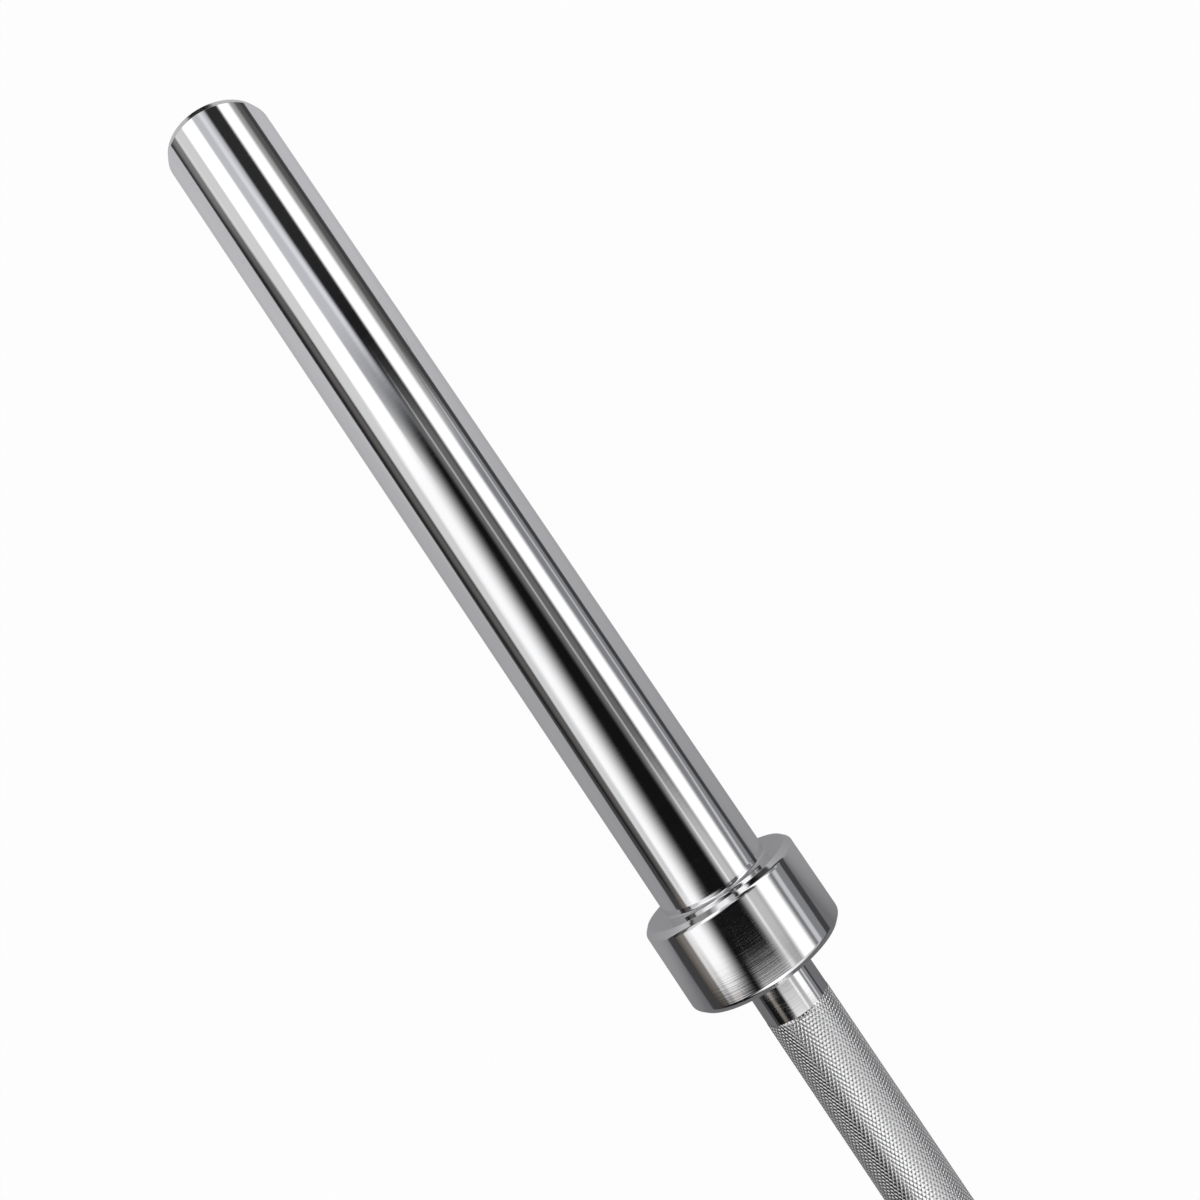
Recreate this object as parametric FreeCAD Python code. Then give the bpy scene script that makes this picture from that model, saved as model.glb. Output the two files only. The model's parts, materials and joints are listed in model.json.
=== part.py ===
import FreeCAD
import Part

import os

# Straight weightlifting bar: a solid shaft with a sleeve turning freely on each end.
# The bar lies along X with its centre at the origin, and Z points up.
# Lengths are in millimetres. The +X end is built piece by piece, and half a turn about Z gives the other.

# Shaft
grip_span = 1310.0
grip_diameter = 30.0
shoulder_step = 1.0
knurl_rise = 0.15
knurl_runout = 0.3
knurl_start = 21.0
knurl_reach = 445.0
ring_mark_spacing = 910.0
ring_mark_width = 5.0
ring_mark_depth = 0.3
centre_knurl_length = 120.0
shaft_end_chamfer = 1.0
centre_hole_diameter = 6.0
centre_hole_depth = 5.2

# Sleeve tube
sleeve_length = 397.0
sleeve_diameter = 50.0
sleeve_lead_length = 3.0
sleeve_lead_depth = 1.4

# Stop collar
collar_height = 11.5
collar_width = 38.0
collar_chamfer = 2.2
collar_root_radius = 1.2
collar_seat_step = 0.5

# Bronze bushes: they fill the space between the sleeve's bore and the shaft's journal
bush_length = 34.0
bush_flange_width = 2.0
bush_flange_thickness = 3.0
bush_chamfer = 0.8
bush_running_clearance = 0.04
oil_groove_width = 4.0
oil_groove_depth_share = 0.2

# Thrust washers
inner_washer_thickness = 1.5
outer_washer_thickness = 2.0
washer_margin = 1.0
washer_clearance = 0.15
washer_chamfer = 0.3
end_float = 0.2

# Dust seal
seal_setback = 0.8
seal_width = 5.0
seal_band_share = 0.5
seal_lip_land = 1.2
seal_lip_root = 3.2
seal_clearance = 0.05
seal_gap = 0.3

# Retaining ring on the shaft: its widths are shares of the room between its groove and the sleeve
shaft_ring_thickness = 1.5
shaft_ring_side_gap = 0.05
shaft_ring_groove_depth = 0.7
shaft_ring_clearance = 0.05
shaft_ring_back_share = 0.48
shaft_ring_tip_share = 0.25
shaft_ring_lug_share = 0.32
shaft_ring_lug_hole_share = 0.15
shaft_ring_gap = 4.6
shaft_tip_land = 3.0

# End cap and the retaining ring that holds it
cap_wall = 4.0
cap_seat_width = 1.0
cap_clearance = 0.1
cap_thickness = 3.0
cap_chamfer = 0.4
cap_recess_margin = 7.5
cap_recess_depth = 0.6
cap_gap = 2.0
cap_ring_setback = 1.5
cap_ring_thickness = 1.75
cap_ring_side_gap = 0.05
cap_ring_groove_depth = 1.25
cap_ring_clearance = 0.05
cap_ring_back = 4.1
cap_ring_tip = 2.2
cap_ring_lug = 2.9
cap_ring_lug_hole = 1.25
cap_ring_gap = 6.5

# Radii from the shaft's axis outwards
grip_radius = grip_diameter / 2
journal_radius = grip_radius - shoulder_step
shaft_groove_radius = journal_radius - shaft_ring_groove_depth
bush_inner_radius = journal_radius + bush_running_clearance

# Radii from the sleeve's surface inwards, then the collar's
sleeve_radius = sleeve_diameter / 2
cap_bore_radius = sleeve_radius - cap_wall
cap_groove_radius = cap_bore_radius + cap_ring_groove_depth
flange_radius = cap_bore_radius - cap_seat_width
bore_radius = flange_radius - bush_flange_width
seat_radius = sleeve_radius - collar_seat_step
collar_radius = sleeve_radius + collar_height

# Stations along the +X end, from the collar outwards
collar_inner_x = grip_span / 2
collar_face_x = collar_inner_x + collar_width
barrel_start_x = collar_face_x + collar_root_radius
sleeve_end_x = collar_face_x + sleeve_length

# Stations of the inner bearing, from the collar's inner face outwards
seal_start_x = collar_inner_x + seal_setback
seal_end_x = seal_start_x + seal_width
shoulder_x = seal_end_x + seal_gap
inner_washer_end_x = shoulder_x + inner_washer_thickness
inner_flange_x = inner_washer_end_x + end_float
inner_seat_x = inner_flange_x + bush_flange_thickness

# Stations of the outer bearing, from the sleeve's end inwards
cap_groove_out_x = sleeve_end_x - cap_ring_setback
cap_face_x = cap_groove_out_x - cap_ring_thickness - 2 * cap_ring_side_gap
cap_seat_x = cap_face_x - cap_thickness
shaft_tip_x = cap_seat_x - cap_gap
shaft_groove_out_x = shaft_tip_x - shaft_tip_land
shaft_groove_in_x = shaft_groove_out_x - shaft_ring_thickness - 2 * shaft_ring_side_gap
outer_washer_x = shaft_groove_in_x - outer_washer_thickness
outer_flange_x = outer_washer_x - end_float
outer_seat_x = outer_flange_x - bush_flange_thickness

ORIGIN = FreeCAD.Vector(0, 0, 0)
BAR_AXIS = FreeCAD.Vector(1, 0, 0)
UP = FreeCAD.Vector(0, 0, 1)
FULL_TURN = 360
HALF_TURN = 180


def at(x, radius):
    """A point of a turned outline, in the plane through the axis."""
    return FreeCAD.Vector(x, 0, radius)


def turned(corners):
    """The solid that a closed outline of (x, radius) corners sweeps about the bar's axis."""
    points = [at(x, radius) for x, radius in corners]
    outline = Part.makePolygon(points + points[:1])
    return Part.Face(outline).revolve(ORIGIN, BAR_AXIS, FULL_TURN)


def disc(radius, start_x, thickness, across=0, up=0):
    """A round plate square to the bar's axis, with its centre moved across and up."""
    return Part.makeCylinder(radius, thickness, FreeCAD.Vector(start_x, across, up), BAR_AXIS)


def make_shaft():
    """Shaft with knurled bands, ring marks, turned journals and a groove for each retaining ring."""
    crest = grip_radius + knurl_rise
    mark = grip_radius - ring_mark_depth
    centre_end_x = centre_knurl_length / 2
    knurl_in_x = collar_inner_x - knurl_reach
    knurl_out_x = collar_inner_x - knurl_start
    mark_in_x = (ring_mark_spacing - ring_mark_width) / 2
    mark_out_x = (ring_mark_spacing + ring_mark_width) / 2
    half = [
        (centre_end_x - knurl_runout, crest),
        (centre_end_x, grip_radius),
        (knurl_in_x, grip_radius),
        (knurl_in_x + knurl_runout, crest),
        (mark_in_x - knurl_runout, crest),
        (mark_in_x, mark),
        (mark_out_x, mark),
        (mark_out_x + knurl_runout, crest),
        (knurl_out_x - knurl_runout, crest),
        (knurl_out_x, grip_radius),
        (shoulder_x, grip_radius),
        (shoulder_x, journal_radius),
        (shaft_groove_in_x, journal_radius),
        (shaft_groove_in_x, shaft_groove_radius),
        (shaft_groove_out_x, shaft_groove_radius),
        (shaft_groove_out_x, journal_radius),
        (shaft_tip_x - shaft_end_chamfer, journal_radius),
        (shaft_tip_x, journal_radius - shaft_end_chamfer),
        (shaft_tip_x, centre_hole_diameter / 2),
        (shaft_tip_x - centre_hole_depth, 0),
    ]
    other_half = [(-x, radius) for x, radius in reversed(half)]
    return turned(other_half + half)


def make_sleeve_tube():
    """Sleeve barrel with a tapered lead at its end, a step for the collar and counterbores for what it holds."""
    return turned([
        (collar_inner_x, seat_radius),
        (barrel_start_x, seat_radius),
        (barrel_start_x, sleeve_radius),
        (sleeve_end_x - sleeve_lead_length, sleeve_radius),
        (sleeve_end_x, sleeve_radius - sleeve_lead_depth),
        (sleeve_end_x, cap_bore_radius),
        (cap_groove_out_x, cap_bore_radius),
        (cap_groove_out_x, cap_groove_radius),
        (cap_face_x, cap_groove_radius),
        (cap_face_x, cap_bore_radius),
        (cap_seat_x, cap_bore_radius),
        (cap_seat_x, flange_radius),
        (outer_seat_x, flange_radius),
        (outer_seat_x, bore_radius),
        (inner_seat_x, bore_radius),
        (inner_seat_x, flange_radius),
        (collar_inner_x, flange_radius),
    ])


def make_stop_collar():
    """Ring shrunk on the sleeve to stop the plates, with bevelled edges and a fillet up to the barrel."""
    fillet_top = at(barrel_start_x, sleeve_radius)
    fillet_foot = at(collar_face_x, sleeve_radius + collar_root_radius)
    fillet_centre = at(barrel_start_x, sleeve_radius + collar_root_radius)
    towards_root = FreeCAD.Vector(-1, 0, -1).normalize()
    fillet_middle = fillet_centre + towards_root * collar_root_radius
    straight = Part.makePolygon([
        fillet_top,
        at(barrel_start_x, seat_radius),
        at(collar_inner_x, seat_radius),
        at(collar_inner_x, collar_radius - collar_chamfer),
        at(collar_inner_x + collar_chamfer, collar_radius),
        at(collar_face_x - collar_chamfer, collar_radius),
        at(collar_face_x, collar_radius - collar_chamfer),
        fillet_foot,
    ])
    fillet = Part.Arc(fillet_foot, fillet_middle, fillet_top).toShape()
    outline = Part.Wire(straight.Edges + [fillet])
    return Part.Face(outline).revolve(ORIGIN, BAR_AXIS, FULL_TURN)


def make_bush(flange_face_x, seat_x, inward):
    """Flanged bronze bush with an oil groove round the middle of its bore."""
    body_end_x = seat_x + inward * bush_length
    groove_near_x = (flange_face_x + body_end_x - inward * oil_groove_width) / 2
    groove_far_x = groove_near_x + inward * oil_groove_width
    groove_radius = bush_inner_radius + oil_groove_depth_share * (bore_radius - bush_inner_radius)
    return turned([
        (flange_face_x, bush_inner_radius + bush_chamfer),
        (flange_face_x, flange_radius),
        (seat_x, flange_radius),
        (seat_x, bore_radius),
        (body_end_x - inward * bush_chamfer, bore_radius),
        (body_end_x, bore_radius - bush_chamfer),
        (body_end_x, bush_inner_radius),
        (groove_far_x, bush_inner_radius),
        (groove_far_x, groove_radius),
        (groove_near_x, groove_radius),
        (groove_near_x, bush_inner_radius),
        (flange_face_x + inward * bush_chamfer, bush_inner_radius),
    ])


def make_washer(start_x, thickness):
    """Flat thrust washer with its outer edges broken."""
    outer_radius = flange_radius - washer_margin
    inner_radius = journal_radius + washer_clearance
    end_x = start_x + thickness
    return turned([
        (start_x, inner_radius),
        (start_x, outer_radius - washer_chamfer),
        (start_x + washer_chamfer, outer_radius),
        (end_x - washer_chamfer, outer_radius),
        (end_x, outer_radius - washer_chamfer),
        (end_x, inner_radius),
    ])


def make_dust_seal():
    """Rubber ring in the mouth of the sleeve, with a tapered lip that runs on the grip."""
    lip_radius = grip_radius + seal_clearance
    band_radius = flange_radius - seal_band_share * (flange_radius - lip_radius)
    return turned([
        (seal_start_x, flange_radius),
        (seal_end_x, flange_radius),
        (seal_end_x, band_radius),
        (seal_start_x + seal_lip_root, band_radius),
        (seal_start_x + seal_lip_land, lip_radius),
        (seal_start_x, lip_radius),
    ])


def open_ring(plate, lug_centre_radius, lug_radius, hole_radius, gap, start_x, thickness):
    """A retaining ring from a closed plate: a gap at the top, with a drilled lug on each side of it."""
    lug_across = gap / 2 + lug_radius
    lug_up = (lug_centre_radius ** 2 - lug_across ** 2) ** 0.5
    lugs = [disc(lug_radius, start_x, thickness, side * lug_across, lug_up) for side in (-1, 1)]
    holes = [disc(hole_radius, start_x, thickness, side * lug_across, lug_up) for side in (-1, 1)]
    reach = lug_centre_radius + 2 * lug_radius
    slot = Part.makeBox(thickness, gap, reach, FreeCAD.Vector(start_x, -gap / 2, 0))
    return plate.fuse(lugs).cut([slot] + holes).removeSplitter()


def make_shaft_ring():
    """Retaining ring sprung into the shaft's groove, widest at the bottom, opposite its gap."""
    start_x = shaft_groove_in_x + shaft_ring_side_gap
    inner_radius = shaft_groove_radius + shaft_ring_clearance
    room = flange_radius - inner_radius
    outer_radius = inner_radius + room * (shaft_ring_back_share + shaft_ring_tip_share) / 2
    shift = room * (shaft_ring_back_share - shaft_ring_tip_share) / 2
    lug_radius = room * shaft_ring_lug_share
    hole_radius = room * shaft_ring_lug_hole_share
    rim = disc(outer_radius, start_x, shaft_ring_thickness, up=-shift)
    bore = disc(inner_radius, start_x, shaft_ring_thickness)
    return open_ring(rim.cut(bore), inner_radius + lug_radius, lug_radius, hole_radius,
                     shaft_ring_gap, start_x, shaft_ring_thickness)


def make_cap_ring():
    """Retaining ring sprung into the sleeve's groove over the end cap, with its lugs turned inwards."""
    start_x = cap_face_x + cap_ring_side_gap
    outer_radius = cap_groove_radius - cap_ring_clearance
    inner_radius = outer_radius - (cap_ring_back + cap_ring_tip) / 2
    shift = (cap_ring_back - cap_ring_tip) / 2
    rim = disc(outer_radius, start_x, cap_ring_thickness)
    bore = disc(inner_radius, start_x, cap_ring_thickness, up=shift)
    lug_centre_radius = outer_radius - cap_ring_lug
    return open_ring(rim.cut(bore), lug_centre_radius, cap_ring_lug, cap_ring_lug_hole,
                     cap_ring_gap, start_x, cap_ring_thickness)


def make_end_cap():
    """Plain disc that closes the sleeve, with a shallow recess in its outer face."""
    rim_radius = cap_bore_radius - cap_clearance
    recess_radius = rim_radius - cap_recess_margin
    recess_x = cap_face_x - cap_recess_depth
    return turned([
        (cap_seat_x, 0),
        (cap_seat_x, rim_radius - cap_chamfer),
        (cap_seat_x + cap_chamfer, rim_radius),
        (cap_face_x - cap_chamfer, rim_radius),
        (cap_face_x, rim_radius - cap_chamfer),
        (cap_face_x, recess_radius),
        (recess_x, recess_radius - cap_recess_depth),
        (recess_x, 0),
    ])


def end_pieces():
    """Every piece on the +X end, by name."""
    return {
        "sleeve_tube": make_sleeve_tube(),
        "stop_collar": make_stop_collar(),
        "inner_bush": make_bush(inner_flange_x, inner_seat_x, 1),
        "outer_bush": make_bush(outer_flange_x, outer_seat_x, -1),
        "inner_thrust_washer": make_washer(shoulder_x, inner_washer_thickness),
        "outer_thrust_washer": make_washer(outer_washer_x, outer_washer_thickness),
        "dust_seal": make_dust_seal(),
        "shaft_retaining_ring": make_shaft_ring(),
        "end_cap": make_end_cap(),
        "cap_retaining_ring": make_cap_ring(),
    }


def main():
    os.makedirs("parts", exist_ok=True)
    pieces = {"shaft": make_shaft()}
    for name, solid in end_pieces().items():
        pieces["right_" + name] = solid
        turned_round = solid.copy()
        turned_round.rotate(ORIGIN, UP, HALF_TURN)
        pieces["left_" + name] = turned_round
    for name, solid in pieces.items():
        if not solid.isValid():
            raise ValueError(f"{name} is not a valid solid")
        solid.exportStep(f"parts/{name}.step")
        print(f"{name}: {len(solid.Solids)} solid, {solid.Volume:.0f} mm3")


main()
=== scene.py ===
import json
import math

import bpy
import numpy as np
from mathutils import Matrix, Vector

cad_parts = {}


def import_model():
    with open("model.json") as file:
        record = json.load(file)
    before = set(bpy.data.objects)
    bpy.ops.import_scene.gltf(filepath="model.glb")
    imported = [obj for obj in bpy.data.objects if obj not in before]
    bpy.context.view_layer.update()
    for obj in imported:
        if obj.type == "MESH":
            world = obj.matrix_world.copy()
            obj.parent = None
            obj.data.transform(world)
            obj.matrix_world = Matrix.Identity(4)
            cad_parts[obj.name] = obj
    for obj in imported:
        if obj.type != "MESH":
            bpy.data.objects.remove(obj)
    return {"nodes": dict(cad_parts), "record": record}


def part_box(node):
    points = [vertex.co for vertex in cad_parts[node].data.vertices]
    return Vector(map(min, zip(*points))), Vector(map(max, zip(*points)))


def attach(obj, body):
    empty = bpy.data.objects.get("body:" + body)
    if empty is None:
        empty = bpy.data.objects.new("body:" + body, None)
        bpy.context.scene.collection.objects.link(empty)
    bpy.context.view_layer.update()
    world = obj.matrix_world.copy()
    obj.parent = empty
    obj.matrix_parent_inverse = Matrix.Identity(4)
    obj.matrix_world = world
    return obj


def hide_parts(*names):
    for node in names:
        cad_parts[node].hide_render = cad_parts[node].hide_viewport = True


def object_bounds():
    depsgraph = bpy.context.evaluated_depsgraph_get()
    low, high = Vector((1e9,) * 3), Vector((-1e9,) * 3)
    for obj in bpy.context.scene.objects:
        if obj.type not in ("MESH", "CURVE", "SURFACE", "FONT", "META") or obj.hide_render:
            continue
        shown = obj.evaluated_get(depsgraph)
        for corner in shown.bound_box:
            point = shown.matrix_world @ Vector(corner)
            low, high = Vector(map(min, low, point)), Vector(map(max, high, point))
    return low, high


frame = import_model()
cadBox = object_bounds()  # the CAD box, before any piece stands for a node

mm = 0.001
samePlace = 0.000001 * mm
sides = {"right": 1, "left": -1}


# Places that the frame gives, all on the +X end. The other end is its mirror image.
def topOf(node):
    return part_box(node)[1]


def bottomOf(node):
    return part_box(node)[0]


mounts = {mount["name"]: mount for mount in frame["record"]["mounts"]}
collarInner = bottomOf("right_stop_collar").x
collarFace = mounts["right_plate_stop"]["pos_m"][0]
collarRadius = topOf("right_stop_collar").z
barrelStart = topOf("right_stop_collar").x
sleeveEnd = topOf("right_sleeve_tube").x
plateSeat = mounts["right_plate_sleeve"]
sleeveRadius = plateSeat["dims"]["r_mm"] * mm
leadStart = plateSeat["pos_m"][0] + plateSeat["dims"]["length_mm"] * mm / 2
gripRadius = -mounts["rack_seat"]["pos_m"][2]
crestRadius = topOf("shaft").z
shaftTip = topOf("shaft").x
floorHeight = cadBox[0].z
print("frame:", len(frame["nodes"]), "nodes, bar", round(cadBox[1].x - cadBox[0].x, 4), "m long")


# Node trees: one node with its settings, and what feeds each of its sockets
def addNode(tree, kind, settings=None, feeds=None):
    node = tree.nodes.new("ShaderNode" + kind)
    for name, value in (settings or {}).items():
        setattr(node, name, value)
    for socket, feed in (feeds or {}).items():
        if isinstance(feed, bpy.types.NodeSocket):
            tree.links.new(feed, node.inputs[socket])
        else:
            node.inputs[socket].default_value = feed
    return node


def ramp(tree, value, low, high, start, end, soft=True):
    # value from low to high becomes start to end, eased where soft, and held beyond both
    settings = {"interpolation_type": "SMOOTHSTEP" if soft else "LINEAR", "clamp": True}
    feeds = {"Value": value, "From Min": low, "From Max": high, "To Min": start, "To Max": end}
    return addNode(tree, "MapRange", settings, feeds).outputs["Result"]


def combine(tree, operation, first, second):
    return addNode(tree, "Math", {"operation": operation}, {0: first, 1: second}).outputs[0]


def newMaterial(name):
    material = bpy.data.materials.new(name)
    material.use_nodes = True
    tree = material.node_tree
    return material, tree, tree.nodes["Principled BSDF"]


def streaks(tree, scale, detail, tilt=(0.0, 0.0, 0.0)):
    # noise on the piece's own metres, turned by a tilt and stretched by a scale for each axis
    place = addNode(tree, "TexCoord").outputs["Object"]
    feeds = {"Vector": place, "Rotation": tilt, "Scale": scale}
    stretched = addNode(tree, "Mapping", None, feeds).outputs["Vector"]
    feeds = {"Vector": stretched, "Scale": 1.0, "Detail": detail}
    return addNode(tree, "TexNoise", None, feeds).outputs["Fac"]


def blended(tree, share, first, second):
    feeds = {"Factor": share, "A": first, "B": second}
    return addNode(tree, "Mix", {"data_type": "RGBA"}, feeds).outputs["Result"]


def raised(tree, height, depth, below=None):
    # the slope of a height that rises by depth, over an earlier slope where one is given
    feeds = {"Height": height, "Distance": depth, "Strength": 1.0}
    if below:
        feeds["Normal"] = below
    return addNode(tree, "Bump", None, feeds).outputs["Normal"]


noiseMiddle = 0.5
noiseSpan = (0.3, 0.7)  # most of a noise lies between these

# Hard chrome over a ground surface: hairlines run round the bar, long faint drifts along it,
# and a few scratches lie in patches
chromeFinish = {
    "colour": (0.80, 0.80, 0.81, 1.0),
    "roughness": (0.04, 0.08),
    "hairScale": (2400.0, 22.0, 22.0),
    "hairDetail": 4.0,
    "hairDepth": 0.000007,
    "driftScale": (9.0, 60.0, 60.0),
    "driftDetail": 2.0,
    "driftDepth": 0.00004,
    "scratchScale": (16.0, 110.0, 110.0),
    "scratchDetail": 1.0,
    "scratchTilt": (0.3, 0.5, 0.4),
    "scratchWidth": 0.005,
    "scratchRoughness": 0.35,
    "patchScale": (7.0, 30.0, 30.0),
    "patchDetail": 2.0,
    "patchEdge": (0.52, 0.62),
}


def hardChrome(name, finish):
    material, tree, shader = newMaterial(name)
    hair = streaks(tree, finish["hairScale"], finish["hairDetail"])
    drift = streaks(tree, finish["driftScale"], finish["driftDetail"])
    # a scratch is where a stretched noise crosses its middle value, and it shows in some patches only
    crossing = streaks(tree, finish["scratchScale"], finish["scratchDetail"], finish["scratchTilt"])
    level = combine(tree, "SUBTRACT", crossing, noiseMiddle)
    line = ramp(tree, combine(tree, "ABSOLUTE", level, 0.0), 0.0, finish["scratchWidth"], 1.0, 0.0)
    cover = streaks(tree, finish["patchScale"], finish["patchDetail"])
    patch = ramp(tree, cover, *finish["patchEdge"], 0.0, finish["scratchRoughness"])
    worn = combine(tree, "MULTIPLY", line, patch)
    rough = combine(tree, "ADD", ramp(tree, hair, *noiseSpan, *finish["roughness"]), worn)
    tree.links.new(rough, shader.inputs["Roughness"])
    rolled = raised(tree, drift, finish["driftDepth"])
    ground = raised(tree, hair, finish["hairDepth"], rolled)
    tree.links.new(ground, shader.inputs["Normal"])
    shader.inputs["Base Color"].default_value = finish["colour"]
    shader.inputs["Metallic"].default_value = 1.0
    return material


# Knurled chrome: the plating is duller there, and painted shade darkens it down in the pits
knurlFinish = {
    "crest": (0.79, 0.79, 0.795, 1.0),
    # the pit colour is painted shade, laid on from the given share of a pit's depth downwards
    "pit": (0.035, 0.035, 0.036, 1.0),
    "pitShadeFrom": 0.24,
    "roughness": (0.10, 0.19),
    "grainScale": (1800.0, 1800.0, 1800.0),
    "grainDetail": 3.0,
}


def knurledChrome(finish):
    material, tree, shader = newMaterial("knurled_chrome")
    depth = addNode(tree, "Attribute", {"attribute_name": "pitShadeShare"}).outputs["Fac"]
    grain = streaks(tree, finish["grainScale"], finish["grainDetail"])
    # painted shade: the colour runs from the crest's chrome to near black towards the pits
    pitShade = ramp(tree, depth, finish["pitShadeFrom"], 1.0, 0.0, 1.0)
    tree.links.new(blended(tree, pitShade, finish["crest"], finish["pit"]), shader.inputs["Base Color"])
    tree.links.new(ramp(tree, grain, *noiseSpan, *finish["roughness"]), shader.inputs["Roughness"])
    shader.inputs["Metallic"].default_value = 1.0
    return material


# Bare turned metal: rings left by the tool on the flat faces, and a slow mottle in the colour
turnedFinishes = {
    "cap_aluminium": {
        "colours": ((0.66, 0.66, 0.67, 1.0), (0.76, 0.76, 0.77, 1.0)),
        "roughness": (0.22, 0.36),
        "rings": 2600.0,
        "ringDepth": 0.000012,
        "mottle": (160.0, 160.0, 160.0),
        "detail": 3.0,
    },
    "washer_steel": {
        "colours": ((0.50, 0.50, 0.51, 1.0), (0.64, 0.64, 0.65, 1.0)),
        "roughness": (0.25, 0.38),
        "rings": 4200.0,
        "ringDepth": 0.000006,
        "mottle": (300.0, 300.0, 300.0),
        "detail": 3.0,
    },
    "bronze": {
        "colours": ((0.36, 0.21, 0.09, 1.0), (0.60, 0.40, 0.19, 1.0)),
        "roughness": (0.30, 0.48),
        "rings": 3000.0,
        "ringDepth": 0.000008,
        "mottle": (420.0, 420.0, 420.0),
        "detail": 3.0,
    },
}


def turnedMetal(name, finish):
    material, tree, shader = newMaterial(name)
    place = addNode(tree, "TexCoord").outputs["Object"]
    across = addNode(tree, "Mapping", None, {"Vector": place, "Scale": (0.0, 1.0, 1.0)}).outputs["Vector"]
    radius = addNode(tree, "VectorMath", {"operation": "LENGTH"}, {0: across}).outputs["Value"]
    step = combine(tree, "MULTIPLY", radius, finish["rings"])
    feeds = {"W": step, "Scale": 1.0, "Detail": finish["detail"]}
    rings = addNode(tree, "TexNoise", {"noise_dimensions": "1D"}, feeds).outputs["Fac"]
    mottle = ramp(tree, streaks(tree, finish["mottle"], finish["detail"]), *noiseSpan, 0.0, 1.0)
    tree.links.new(blended(tree, mottle, *finish["colours"]), shader.inputs["Base Color"])
    tree.links.new(ramp(tree, rings, *noiseSpan, *finish["roughness"]), shader.inputs["Roughness"])
    tree.links.new(raised(tree, rings, finish["ringDepth"]), shader.inputs["Normal"])
    shader.inputs["Metallic"].default_value = 1.0
    return material


# Matt dark skins: the springs' phosphate and the seals' moulded rubber
mattFinishes = {
    "spring_steel": {
        "colours": ((0.05, 0.05, 0.055, 1.0), (0.13, 0.13, 0.135, 1.0)),
        "roughness": (0.42, 0.60),
        "metallic": 0.7,
        "grain": (900.0, 900.0, 900.0),
        "detail": 4.0,
        "grainDepth": 0.00001,
    },
    "seal_rubber": {
        "colours": ((0.015, 0.015, 0.016, 1.0), (0.035, 0.034, 0.033, 1.0)),
        "roughness": (0.55, 0.72),
        "metallic": 0.0,
        "grain": (1500.0, 700.0, 700.0),
        "detail": 4.0,
        "grainDepth": 0.00002,
    },
}


def mattSkin(name, finish):
    material, tree, shader = newMaterial(name)
    grain = streaks(tree, finish["grain"], finish["detail"])
    spread = ramp(tree, grain, *noiseSpan, 0.0, 1.0)
    tree.links.new(blended(tree, spread, *finish["colours"]), shader.inputs["Base Color"])
    tree.links.new(ramp(tree, grain, *noiseSpan, *finish["roughness"]), shader.inputs["Roughness"])
    tree.links.new(raised(tree, grain, finish["grainDepth"]), shader.inputs["Normal"])
    shader.inputs["Metallic"].default_value = finish["metallic"]
    return material


chrome = hardChrome("polished_chrome", chromeFinish)
knurled = knurledChrome(knurlFinish)
finishes = {name: turnedMetal(name + "_turned", finish) for name, finish in turnedFinishes.items()}
finishes.update({name: mattSkin(name + "_matt", finish) for name, finish in mattFinishes.items()})
for subpart in frame["record"]["subparts"]:
    if subpart["material_slot"] in finishes:
        for slot in frame["nodes"][subpart["node"]].material_slots:
            slot.material = finishes[subpart["material_slot"]]
print("finishes:", chrome.name, knurled.name, *finishes)


# Turned pieces. A corner (x, radius, round) of the outline becomes an arc tangent to both of its sides,
# or a sharp point where round is 0. The outside lies to the left of the outline's direction.
def roundedOutline(corners, arcSteps=6):
    places = np.array([corner[:2] for corner in corners])
    rounds = [corner[2] for corner in corners]
    ahead = np.roll(places, -1, 0) - places
    ahead /= np.linalg.norm(ahead, axis=1)[:, None]
    points, normalsIn, normalsOut = [], [], []
    for number, size in enumerate(rounds):
        before, after = ahead[number - 1], ahead[number]
        turn = math.atan2(before[0] * after[1] - before[1] * after[0], before @ after)
        steps = np.linspace(0, 1, arcSteps + 1) if size else np.array([0.0])
        heading = math.atan2(before[1], before[0]) + turn * steps
        left = np.stack([-np.sin(heading), np.cos(heading)], 1)
        start = places[number] - before * size * math.tan(abs(turn) / 2)
        centre = start + left[0] * size * np.sign(turn)
        points.append(centre - left * size * np.sign(turn))
        normalsIn.append(left)
        normalsOut.append(left if size else np.array([[-after[1], after[0]]]))
    points, normalsIn, normalsOut = [np.concatenate(rows) for rows in (points, normalsIn, normalsOut)]
    # an arc that ends on the next corner leaves one point there
    apart = np.linalg.norm(np.roll(points, -1, 0) - points, axis=1) > samePlace
    return points[apart], normalsIn[apart], normalsOut[apart]


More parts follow.
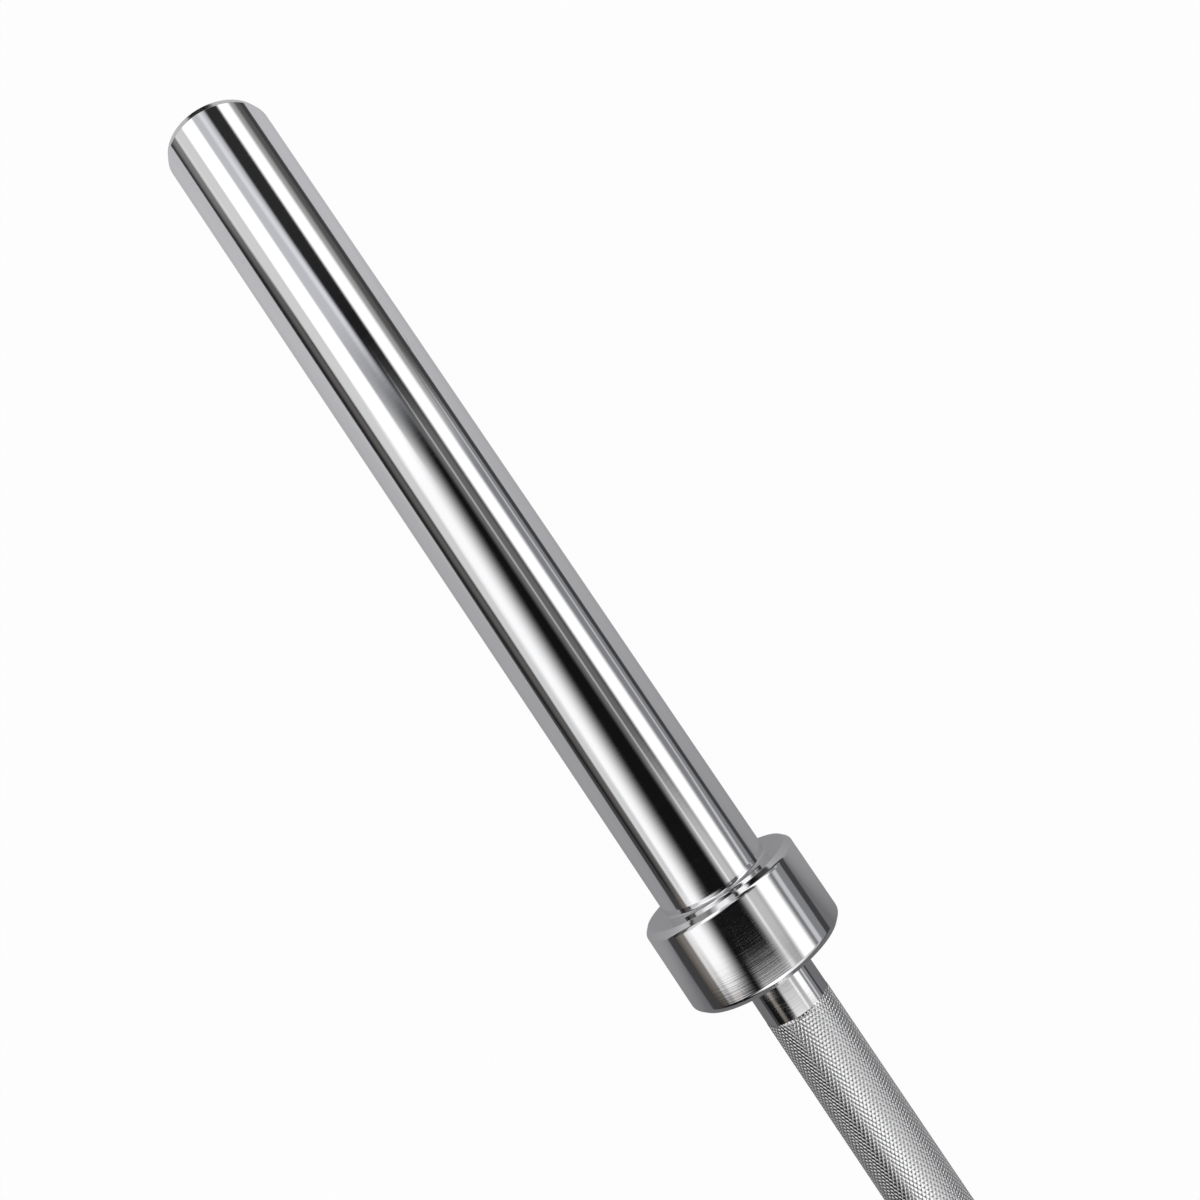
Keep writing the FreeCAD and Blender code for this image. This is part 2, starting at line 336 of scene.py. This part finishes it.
# A point of a turned surface is (x, r cos a, r sin a): the outline gives x and r, and a goes round once.
# The outline closes on itself, or starts and ends on the axis, where a fan of triangles closes the surface.
def turnedPiece(name, corners, turns, side=1):
    points, normalsIn, normalsOut = roundedOutline(corners)
    if side < 0:
        flip = np.array([-1.0, 1.0])
        points, normalsIn, normalsOut = points[::-1] * flip, normalsOut[::-1] * flip, normalsIn[::-1] * flip
    count = len(points)
    angle = np.arange(turns) * 2 * math.pi / turns
    ring = np.stack([np.cos(angle), np.sin(angle)], 1)

    def swept(values):
        along = np.repeat(values[:, None, :1], turns, 1)
        return np.concatenate([along, values[:, None, 1:] * ring[None]], 2)

    onAxis = points[:, 1] == 0
    vertex = np.arange(count * turns).reshape(count, turns)
    vertex[onAxis] = vertex[onAxis, :1]
    used, vertex = np.unique(vertex, return_inverse=True)
    here = vertex.reshape(count, turns)
    ahead = np.roll(here, -1, 0)
    quads = np.stack([here, np.roll(here, -1, 1), np.roll(ahead, -1, 1), ahead], 2)
    leaving = swept(normalsOut)
    arriving = np.roll(swept(normalsIn), -1, 0)
    normals = np.stack([leaving, np.roll(leaving, -1, 1), np.roll(arriving, -1, 1), arriving], 2)
    # which corners of a row's quads stay: all four, or three beside a pole
    nextOnAxis = np.roll(onAxis, -1)
    rows = [
        (~onAxis & ~nextOnAxis, [0, 1, 2, 3]),
        (onAxis & ~nextOnAxis, [0, 2, 3]),
        (~onAxis & nextOnAxis, [0, 1, 2]),
    ]
    faces = [face for row, kept in rows for face in quads[row][..., kept].reshape(-1, len(kept)).tolist()]
    normals = np.concatenate([normals[row][:, :, kept].reshape(-1, 3) for row, kept in rows])
    return newPiece(name, swept(points).reshape(-1, 3)[used], faces, normals)


def newPiece(name, places, faces, normals=None):
    mesh = bpy.data.meshes.new(name)
    mesh.from_pydata(places.tolist(), [], faces)
    mesh.update()
    if normals is not None:
        mesh.polygons.foreach_set("use_smooth", np.ones(len(mesh.polygons), dtype=bool))
        mesh.normals_split_custom_set(normals.tolist())
    piece = bpy.data.objects.new(name, mesh)
    bpy.context.scene.collection.objects.link(piece)
    return piece


# Sleeve barrels
barrel = {
    "turns": 192,
    "leadDepth": 1.4 * mm,
    "edgeRound": 0.5 * mm,
    "rimRound": 0.3 * mm,
    "seatStep": 0.5 * mm,
    "boreStep": 2.0 * mm,
    "flangeThickness": 3.0 * mm,
    "ringPlay": 0.05 * mm,
    "capPlay": 0.1 * mm,
}


def sleeveBarrel(side, shape):
    prefix = side + "_"
    capBore = topOf("right_end_cap").z + shape["capPlay"]
    capSeat = bottomOf("right_end_cap").x
    capFace = topOf("right_end_cap").x
    ringOuter = topOf("right_cap_retaining_ring").x + shape["ringPlay"]
    groove = topOf("right_cap_retaining_ring").z + shape["ringPlay"]
    mouth = topOf("right_dust_seal").z
    bore = mouth - shape["boreStep"]
    innerSeat = bottomOf("right_inner_bush").x + shape["flangeThickness"]
    outerSeat = topOf("right_outer_bush").x - shape["flangeThickness"]
    seat = sleeveRadius - shape["seatStep"]
    endLand = sleeveRadius - shape["leadDepth"]
    corners = [
        (collarInner, seat, 0),
        (barrelStart, seat, 0),
        (barrelStart, sleeveRadius, 0),
        (leadStart, sleeveRadius, shape["edgeRound"]),
        (sleeveEnd, endLand, shape["edgeRound"]),
        (sleeveEnd, capBore, shape["rimRound"]),
        (ringOuter, capBore, 0),
        (ringOuter, groove, 0),
        (capFace, groove, 0),
        (capFace, capBore, 0),
        (capSeat, capBore, 0),
        (capSeat, mouth, 0),
        (outerSeat, mouth, 0),
        (outerSeat, bore, 0),
        (innerSeat, bore, 0),
        (innerSeat, mouth, 0),
        (collarInner, mouth, shape["rimRound"]),
    ]
    piece = turnedPiece(prefix + "sleeve_barrel", corners, shape["turns"], sides[side])
    piece.data.materials.append(chrome)
    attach(piece, prefix + "sleeve")
    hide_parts(prefix + "sleeve_tube")


# Stop collars: bevelled edges, and a hollow fillet from the plate face up to the barrel
collar = {
    "turns": 224,
    "chamfer": 2.2 * mm,
    "bevelRound": 2.0 * mm,
    "faceRound": 0.4 * mm,
    "seatStep": 0.5 * mm,
}


def stopCollar(side, shape):
    prefix = side + "_"
    seat = sleeveRadius - shape["seatStep"]
    land = collarRadius - shape["chamfer"]
    rootRound = barrelStart - collarFace
    corners = [
        (collarInner, seat, 0),
        (collarInner, land, shape["faceRound"]),
        (collarInner + shape["chamfer"], collarRadius, shape["bevelRound"]),
        (collarFace - shape["chamfer"], collarRadius, shape["bevelRound"]),
        (collarFace, land, shape["faceRound"]),
        (collarFace, sleeveRadius, rootRound),
        (barrelStart, sleeveRadius, 0),
        (barrelStart, seat, 0),
    ]
    piece = turnedPiece(prefix + "collar_ring", corners, shape["turns"], sides[side])
    piece.data.materials.append(chrome)
    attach(piece, prefix + "sleeve")
    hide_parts(prefix + "stop_collar")


for side in sides:
    sleeveBarrel(side, barrel)
    stopCollar(side, collar)
print("sleeves and collars made")


# Shaft: plain ground stretches and journals, with a shallow bed under each knurled band
shaft = {
    "turns": 160,
    "shoulderStep": 1.0 * mm,
    "shoulderPastSeal": 0.3 * mm,
    "edgeRound": 0.3 * mm,
    "tipChamfer": 1.0 * mm,
    "centreHoleRadius": 3.0 * mm,
    "centreHoleDepth": 5.2 * mm,
    "ringGrooveDepth": 0.7 * mm,
    "ringPlay": 0.05 * mm,
    "markSpacing": 910.0 * mm,
    "markWidth": 5.0 * mm,
    "markDepth": 0.3 * mm,
    "bedDepth": 0.45 * mm,
}

# Knurl: flat diamonds between two crossing families of helical grooves. Places are counted in half diamonds
# round (u) and along (v). The middle of a diamond lies where u + v is even, and a pit, where two grooves
# cross, lies where it is odd. A flat reaches its share of the way to the four pits round it. Its sides fall
# to those pits, and to the saddles half-way between two pits. A place is turned by u / starts half turns.
knurl = {
    "starts": 57,
    "diamondLength": 3.06 * mm,
    "flatShare": 0.62,
    "crown": 0.02 * mm,
    "pitDepth": 0.34 * mm,
    "saddleDepth": 0.09 * mm,
    "startFromCollar": 21.0 * mm,
    "reachFromCollar": 445.0 * mm,
    "centreLength": 120.0 * mm,
}


def knurlStretches(shape, bar):
    # from and to of each band: outer and inner of the ring mark on both sides, and the centre
    outer = collarInner - shape["startFromCollar"]
    inner = collarInner - shape["reachFromCollar"]
    markIn = (bar["markSpacing"] - bar["markWidth"]) / 2
    markOut = (bar["markSpacing"] + bar["markWidth"]) / 2
    half = shape["centreLength"] / 2
    return {
        "knurl_right_outer": (markOut, outer),
        "knurl_right_inner": (inner, markIn),
        "knurl_centre": (-half, half),
        "knurl_left_inner": (-markIn, -inner),
        "knurl_left_outer": (-outer, -markOut),
    }


def knurlBand(name, start, end, shape, bed):
    starts, flat = shape["starts"], shape["flatShare"]
    halfStep = 0.5
    last = 2 * round((end - start) / shape["diamondLength"])
    columns = 2 * starts
    v, u = np.meshgrid(np.arange(last + 1.0), np.arange(columns), indexing="ij")
    top = np.where((v > 0) & (v < last), crestRadius - shape["crown"], gripRadius)
    pit = (u + v) % 2
    middle = np.where(pit, crestRadius - shape["pitDepth"], top + shape["crown"] * (top > gripRadius))
    low = np.full_like(top, crestRadius - shape["saddleDepth"])
    high = np.full_like(top, crestRadius - shape["crown"])
    # blocks of places: middles and pits, the four corners of the flats, and the saddles
    blocks = [
        (u, v, middle),
        (u + flat, v, top),
        (u - flat, v, top),
        (u, v + flat, high),
        (u, v - flat, high),
        (u + halfStep, v + halfStep, low),
    ]
    # shares of painted shade: full in the pits, part at the saddles, none on the flats
    saddleShade = np.full_like(top, shape["saddleDepth"] / shape["pitDepth"])
    pitShadeShares = np.stack([pit] + [np.zeros_like(top)] * 4 + [saddleShade])

    # the two rims stand on the ends' own outline, and two rings on the bed close the band
    number = np.arange(len(blocks) * top.size).reshape(len(blocks), *top.shape)
    spot, east, west, north, south, saddle = number
    edgeRows = [(west[row, ::2], spot[row, ::2], east[row, ::2], spot[row, 1::2]) for row in (0, last)]
    rims = [np.stack(edge, 1).ravel() for edge in edgeRows]
    ringTurn = np.stack([u[0, ::2] - flat, u[0, ::2], u[0, ::2] + flat, u[0, 1::2]], 1).ravel()
    blocks += [(ringTurn, np.full_like(ringTurn, row), np.full_like(ringTurn, bed)) for row in (0, last)]
    turn, along, radius = [np.concatenate([block[part].ravel() for block in blocks]) for part in range(3)]
    angle = turn * math.pi / starts
    x = start + (end - start) * along / last
    places = np.stack([x, radius * np.cos(angle), radius * np.sin(angle)], 1)
    beds = [number.size + ring * len(ringTurn) + np.arange(len(ringTurn)) for ring in (0, 1)]

    def ahead(block):
        return np.roll(block, -1, 0)

    def behind(block):
        return np.roll(block, 1, 0)

    def before(block):
        return np.roll(block, 1, 1)

    def after(block):
        return np.roll(block, -1, 1)

    upper = [
        (spot, east, north),
        (spot, north, west),
        (east, after(spot), saddle),
        (east, saddle, north),
        (north, saddle, ahead(spot)),
        (north, ahead(spot), before(saddle)),
        (north, before(saddle), west),
        (west, before(saddle), before(spot)),
    ]
    lower = [
        (spot, west, south),
        (spot, south, east),
        (west, before(spot), behind(before(saddle))),
        (west, behind(before(saddle)), south),
        (south, behind(before(saddle)), behind(spot)),
        (south, behind(spot), behind(saddle)),
        (south, behind(saddle), east),
        (east, behind(saddle), after(spot)),
    ]
    diamond = pit == 0
    faces = [np.stack(corners, 2)[diamond & (v < last)] for corners in upper]
    faces += [np.stack(corners, 2)[diamond & (v > 0)] for corners in lower]

    def strip(first, second):
        # two triangles for each step between two closed rings
        firstNext, secondNext = np.roll(first, -1), np.roll(second, -1)
        return [np.stack([first, second, secondNext], 1), np.stack([first, secondNext, firstNext], 1)]

    faces += strip(rims[0], beds[0]) + strip(beds[0], beds[1]) + strip(beds[1], rims[1])
    used, faces = np.unique(np.concatenate(faces), return_inverse=True)
    piece = newPiece(name, places[used], faces.reshape(-1, 3).tolist())
    attribute = piece.data.attributes.new("pitShadeShare", "FLOAT", "POINT")
    # the rings on the bed get the full painted shade of a pit
    shadeShares = np.concatenate([pitShadeShares.ravel(), np.ones(2 * len(ringTurn))])[used]
    attribute.data.foreach_set("value", shadeShares.astype(np.float32))
    piece.data.materials.append(knurled)
    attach(piece, "shaft")
    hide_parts("shaft")


def shaftBar(shape, bands):
    bed = gripRadius - shape["bedDepth"]
    journal = gripRadius - shape["shoulderStep"]
    groove = journal - shape["ringGrooveDepth"]
    shoulder = topOf("right_dust_seal").x + shape["shoulderPastSeal"]
    grooveIn = bottomOf("right_shaft_retaining_ring").x - shape["ringPlay"]
    grooveOut = topOf("right_shaft_retaining_ring").x + shape["ringPlay"]
    mark = gripRadius - shape["markDepth"]
    markStart = bands["knurl_right_inner"][1]
    markEnd = bands["knurl_right_outer"][0]
    half = [
        (bands["knurl_centre"][1], bed, 0),
        (bands["knurl_centre"][1], gripRadius, 0),
        (bands["knurl_right_inner"][0], gripRadius, 0),
        (bands["knurl_right_inner"][0], bed, 0),
        (markStart, bed, 0),
        (markStart, mark, 0),
        (markEnd, mark, 0),
        (markEnd, bed, 0),
        (bands["knurl_right_outer"][1], bed, 0),
        (bands["knurl_right_outer"][1], gripRadius, 0),
        (shoulder, gripRadius, shape["edgeRound"]),
        (shoulder, journal, 0),
        (grooveIn, journal, 0),
        (grooveIn, groove, 0),
        (grooveOut, groove, 0),
        (grooveOut, journal, 0),
        (shaftTip - shape["tipChamfer"], journal, 0),
        (shaftTip, journal - shape["tipChamfer"], 0),
        (shaftTip, shape["centreHoleRadius"], 0),
        (shaftTip - shape["centreHoleDepth"], 0, 0),
    ]
    corners = [(-x, radius, size) for x, radius, size in reversed(half)] + half
    piece = turnedPiece("shaft_bar", corners, shape["turns"])
    piece.data.materials.append(chrome)
    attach(piece, "shaft")
    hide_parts("shaft")


bands = knurlStretches(knurl, shaft)
shaftBar(shaft, bands)
for name, (start, end) in bands.items():
    knurlBand(name, start, end, knurl, gripRadius - shaft["bedDepth"])
print("shaft and", len(bands), "knurled bands made")


# Studio: strips of light that run along the bar. An angle is degrees round the bar from straight up,
# towards -Y, and reach is the part of a direction that lies along +X. An edge is an angle, or a line
# through two places (reach, angle, reach, angle) that is held beyond them. Soft eases the two edges,
# and fade the two ends of reach.
neutral = (1.0, 1.0, 1.0)
warm = (1.04, 1.0, 0.95)
brown = (1.14, 1.0, 0.84)
cool = (0.97, 0.985, 1.03)
studio = {
    "seen": (1.0, 1.0, 1.0, 1.0),
    "base": (0.007, 0.007, 0.0075),
    "strips": [
        {"name": "left wall", "from": (-0.25, -75.5, 0.12, -68.5), "to": (-0.28, -69, 0.25, -47),
         "soft": (2.5, 4), "reach": (-0.305, 0.82), "fade": (0.02, 0.05), "light": 0.75, "tint": neutral},
        {"name": "left line", "from": -72.5, "to": -67.5, "soft": (2, 2),
         "reach": (0.50, 0.82), "fade": (0.06, 0.05), "light": 0.50, "tint": neutral},
        {"name": "left foot", "from": -84, "to": -71, "soft": (6, 6),
         "reach": (-0.305, 0.82), "fade": (0.02, 0.05), "light": 0.12, "tint": warm},
        {"name": "left foot near", "from": -88, "to": -70, "soft": (4, 4),
         "reach": (0.54, 0.82), "fade": (0.04, 0.05), "light": 0.10, "tint": cool},
        {"name": "collar foot", "from": -92, "to": -76, "soft": (4, 5),
         "reach": (-0.305, -0.21), "fade": (0.02, 0.03), "light": 0.10, "tint": brown},
        {"name": "left box near", "from": -46.5, "to": -18, "soft": (3.5, 3),
         "reach": (0.34, 0.82), "fade": (0.08, 0.05), "light": 1.40, "tint": neutral},
        {"name": "left box far", "from": (-0.28, -67, 0.25, -48), "to": (-0.28, -42, 0.35, -9.5),
         "soft": (5, 20), "reach": (-0.215, 0.34), "fade": (0.02, 0.08), "light": 1.20, "tint": neutral},
        {"name": "collar box", "from": -67.5, "to": (-0.305, -43.5, -0.25, -40.5), "soft": (5, 13),
         "reach": (-0.305, -0.215), "fade": (0.02, 0.02), "light": 1.20, "tint": neutral},
        {"name": "ceiling", "from": -18, "to": (0.36, 16.5, 0.52, 12), "soft": (3, 4),
         "reach": (0.38, 0.82), "fade": (0.08, 0.05), "light": 0.62, "tint": cool},
        {"name": "ceiling light", "from": (0.44, 4, 0.56, -3), "to": (0.44, 12, 0.56, 5), "soft": (3, 3),
         "reach": (0.40, 0.82), "fade": (0.05, 0.05), "light": 0.22, "tint": cool},
        {"name": "near gap", "from": 14, "to": 44, "soft": (3, 6),
         "reach": (0.46, 0.82), "fade": (0.12, 0.05), "light": 0.022, "tint": neutral},
        {"name": "right edge", "from": 21.5, "to": 24.5, "soft": (1.5, 1.5),
         "reach": (-0.305, 0.36), "fade": (0.02, 0.05), "light": 0.36, "tint": neutral},
        {"name": "right frame", "from": 14, "to": 37, "soft": (5, 6),
         "reach": (-0.305, 0.36), "fade": (0.02, 0.06), "light": 0.15, "tint": neutral},
        {"name": "right glow", "from": 18, "to": 40, "soft": (6, 4),
         "reach": (-0.305, -0.12), "fade": (0.02, 0.08), "light": 0.46, "tint": neutral},
        {"name": "right box", "from": 41, "to": (-0.25, 63, -0.10, 65), "soft": (4, 5),
         "reach": (-0.355, 0.85), "fade": (0.02, 0.05), "light": 1.35, "tint": neutral},
        {"name": "right fall", "from": 64, "to": 77, "soft": (4, 5),
         "reach": (0.30, 0.85), "fade": (0.05, 0.05), "light": 0.30, "tint": neutral},
        {"name": "right foot", "from": 66, "to": 92, "soft": (4, 4),
         "reach": (-2, 0.34), "fade": (0.02, 0.05), "light": 0.26, "tint": cool},
        {"name": "right foot near", "from": 66, "to": 110, "soft": (4, 4),
         "reach": (0.34, 0.85), "fade": (0.05, 0.05), "light": 0.10, "tint": warm},
        {"name": "right seam", "from": (-0.25, 70.5, -0.10, 79.5), "to": (-0.25, 77.5, -0.10, 82.5),
         "soft": (1.5, 1.5), "reach": (-2, 0.36), "fade": (0.02, 0.05), "light": 0.40, "tint": neutral},
        {"name": "back ceiling", "from": -24, "to": 28, "soft": (6, 3),
         "reach": (-0.36, -0.312), "fade": (0.015, 0.02), "light": 0.75, "tint": neutral},
        {"name": "back line", "from": 20, "to": 27, "soft": (2, 2),
         "reach": (-0.36, -0.312), "fade": (0.015, 0.02), "light": 0.35, "tint": neutral},
        {"name": "back gap", "from": 28, "to": 41, "soft": (3, 3),
         "reach": (-0.36, -0.312), "fade": (0.015, 0.02), "light": 0.52, "tint": neutral},
        {"name": "back wall", "from": -67, "to": -53, "soft": (4, 5),
         "reach": (-0.36, -0.305), "fade": (0.02, 0.02), "light": 0.20, "tint": brown},
        {"name": "grip ceiling", "from": -30, "to": 14, "soft": (12, 12),
         "reach": (-2, -0.36), "fade": (0.02, 0.015), "light": 0.62, "tint": neutral},
        {"name": "grip wall", "from": -31, "to": 67, "soft": (14, 8),
         "reach": (-2, -0.36), "fade": (0.02, 0.015), "light": 0.66, "tint": neutral},
        {"name": "far wall", "from": -50, "to": 52, "soft": (5, 5),
         "reach": (-2, -0.55), "fade": (0.02, 0.08), "light": 0.40, "tint": neutral},
        {"name": "near ceiling", "from": -42, "to": 4, "soft": (10, 10),
         "reach": (0.85, 0.985), "fade": (0.05, 0.006), "light": 0.55, "tint": neutral},
        {"name": "near wall", "from": -56, "to": 28, "soft": (6, 4),
         "reach": (0.85, 0.985), "fade": (0.05, 0.006), "light": 0.50, "tint": neutral},
        {"name": "near box", "from": 41, "to": 66, "soft": (4, 5),
         "reach": (0.85, 0.985), "fade": (0.05, 0.006), "light": 1.10, "tint": neutral},
        {"name": "near end", "from": -60, "to": 70, "soft": (8, 8),
         "reach": (0.985, 2), "fade": (0.006, 0.02), "light": 0.03, "tint": neutral},
        {"name": "end light", "from": -110, "to": -60, "soft": (8, 12),
         "reach": (0.85, 0.97), "fade": (0.02, 0.02), "light": 0.30, "tint": neutral},
    ],
}


def edgeMask(tree, value, along, line, soft, inside):
    # 0 before the edge and 1 after it, or the other way round where inside is 0
    if isinstance(line, tuple):
        line = ramp(tree, along, line[0], line[2], line[1], line[3], False)
    return ramp(tree, combine(tree, "SUBTRACT", value, line), -soft, soft, 1.0 - inside, inside)


def studioWorld(setup):
    world = bpy.data.worlds.new("studio")
    bpy.context.scene.world = world
    world.use_nodes = True
    tree = world.node_tree
    tree.nodes.clear()
    way = addNode(tree, "TexCoord").outputs["Generated"]
    parts = addNode(tree, "SeparateXYZ", None, {0: way}).outputs
    reach = parts["X"]
    aside = combine(tree, "MULTIPLY", parts["Y"], -1.0)
    angle = combine(tree, "DEGREES", combine(tree, "ARCTAN2", aside, parts["Z"]), 0.0)
    total = setup["base"]
    for strip in setup["strips"]:
        (low, high), (fadeLow, fadeHigh) = strip["reach"], strip["fade"]
        across = combine(
            tree, "MULTIPLY",
            edgeMask(tree, angle, reach, strip["from"], strip["soft"][0], 1.0),
            edgeMask(tree, angle, reach, strip["to"], strip["soft"][1], 0.0))
        along = combine(
            tree, "MULTIPLY",
            ramp(tree, reach, low - fadeLow, low + fadeLow, 0.0, strip["light"]),
            ramp(tree, reach, high - fadeHigh, high + fadeHigh, 1.0, 0.0))
        light = combine(tree, "MULTIPLY", across, along)
        feeds = {0: strip["tint"], "Scale": light}
        tinted = addNode(tree, "VectorMath", {"operation": "SCALE"}, feeds).outputs[0]
        total = addNode(tree, "VectorMath", {"operation": "ADD"}, {0: total, 1: tinted}).outputs[0]
    lit = addNode(tree, "Background", None, {"Color": total, "Strength": 1.0}).outputs[0]
    plain = addNode(tree, "Background", None, {"Color": setup["seen"], "Strength": 1.0}).outputs[0]
    seen = addNode(tree, "LightPath").outputs["Is Camera Ray"]
    both = addNode(tree, "MixShader", None, {0: seen, 1: lit, 2: plain}).outputs[0]
    addNode(tree, "OutputWorld", None, {"Surface": both})


# Floor: pale and nearly shadowless to look at. As the bar mirrors it, it glows as a painted reflection of a
# grey table, lighter towards the bar's ends, with painted shade under the bar and between the collars. The
# table's edges are lines through two places (along the bar, aside, along, aside).
floorLook = {
    "halfSize": 9.0,
    "gap": 0.2 * mm,
    "seen": (1.0, 1.0, 1.0, 1.0),
    "paper": (0.9, 0.9, 0.9, 1.0),
    "paperShare": 0.04,
    "mirroredMiddle": 0.31,
    "mirroredEnd": 0.59,
    "middleTo": 0.62,
    "endFrom": 1.05,
    "collarShade": 0.60,
    "collarShadeTo": 0.61,
    "collarShadeEnd": 0.67,
    "underBarShade": 0.78,
    "underBarShadeWidth": 0.09,
    "mirroredFar": 0.06,
    "tableFrom": (0.62, -0.34, 1.05, -0.28),
    "tableTo": (0.62, 0.24, 1.05, 0.85),
    "tableSoft": 0.05,
    "tint": (0.99, 0.99, 1.02, 1.0),
}


def paleFloor(look):
    size, height = look["halfSize"], floorHeight - look["gap"]
    ends = [(-size, -size), (size, -size), (size, size), (-size, size)]
    floor = newPiece("floor", np.array([(x, y, height) for x, y in ends]), [[0, 1, 2, 3]])
    material, tree, shader = newMaterial("pale_floor")
    tree.nodes.remove(shader)
    place = addNode(tree, "TexCoord").outputs["Object"]
    parts = addNode(tree, "SeparateXYZ", None, {0: place}).outputs
    along = combine(tree, "ABSOLUTE", parts["X"], 0.0)
    aside = combine(tree, "ABSOLUTE", parts["Y"], 0.0)
    tones = (look["mirroredMiddle"], look["mirroredEnd"])
    # painted reflection: a grey glow that is lighter towards the bar's ends
    grey = ramp(tree, along, look["middleTo"], look["endFrom"], *tones, False)
    # painted shadow under the bar
    shade = ramp(tree, aside, 0.0, look["underBarShadeWidth"], look["underBarShade"], 1.0)
    paintedTable = combine(
        tree, "MULTIPLY",
        edgeMask(tree, parts["Y"], along, look["tableFrom"], look["tableSoft"], 1.0),
        edgeMask(tree, parts["Y"], along, look["tableTo"], look["tableSoft"], 0.0))
    # painted shade of the collars, darker between them
    collarShadeMask = ramp(tree, along, look["collarShadeTo"], look["collarShadeEnd"], look["collarShade"], 1.0)
    glow = combine(tree, "MULTIPLY", grey, shade)
    glow = combine(tree, "MULTIPLY", glow, combine(tree, "MULTIPLY", paintedTable, collarShadeMask))
    glow = combine(tree, "MAXIMUM", glow, look["mirroredFar"])
    # the painted reflection glows for every ray but the camera's, which sees the plain pale floor
    paintedReflection = addNode(tree, "Emission", None, {"Color": look["tint"], "Strength": glow}).outputs[0]
    paper = addNode(tree, "BsdfDiffuse", None, {"Color": look["paper"]}).outputs[0]
    plain = addNode(tree, "Emission", None, {"Color": look["seen"], "Strength": 1.0}).outputs[0]
    shown = addNode(tree, "MixShader", None, {0: look["paperShare"], 1: plain, 2: paper}).outputs[0]
    seen = addNode(tree, "LightPath").outputs["Is Camera Ray"]
    both = addNode(tree, "MixShader", None, {0: seen, 1: paintedReflection, 2: shown}).outputs[0]
    tree.links.new(both, tree.nodes["Material Output"].inputs["Surface"])
    floor.data.materials.append(material)


studioWorld(studio)
paleFloor(floorLook)
bpy.context.scene.view_settings.view_transform = "Standard"
print("studio and floor made")


# Camera: almost straight above the sleeve, with the sleeve's end at the top left
cameraView = {
    "pastCollar": 90.98 * mm,
    "aside": -3.11 * mm,
    "height": 413.91 * mm,
    "aimPastCollar": 125.66 * mm,
    "aimAside": -26.58 * mm,
    "lens": 28.8,
    "sensor": 36.0,
    "nearest": 10.0 * mm,
}


def photoCamera(setup):
    data = bpy.data.cameras.new("camera")
    data.lens = setup["lens"]
    data.sensor_width = setup["sensor"]
    data.clip_start = setup["nearest"]
    camera = bpy.data.objects.new("camera", data)
    bpy.context.scene.collection.objects.link(camera)
    camera.location = (collarFace + setup["pastCollar"], setup["aside"], setup["height"])
    aim = Vector((collarFace + setup["aimPastCollar"], setup["aimAside"], 0.0))
    camera.rotation_euler = (aim - camera.location).to_track_quat("-Z", "Y").to_euler()
    bpy.context.scene.camera = camera


photoCamera(cameraView)
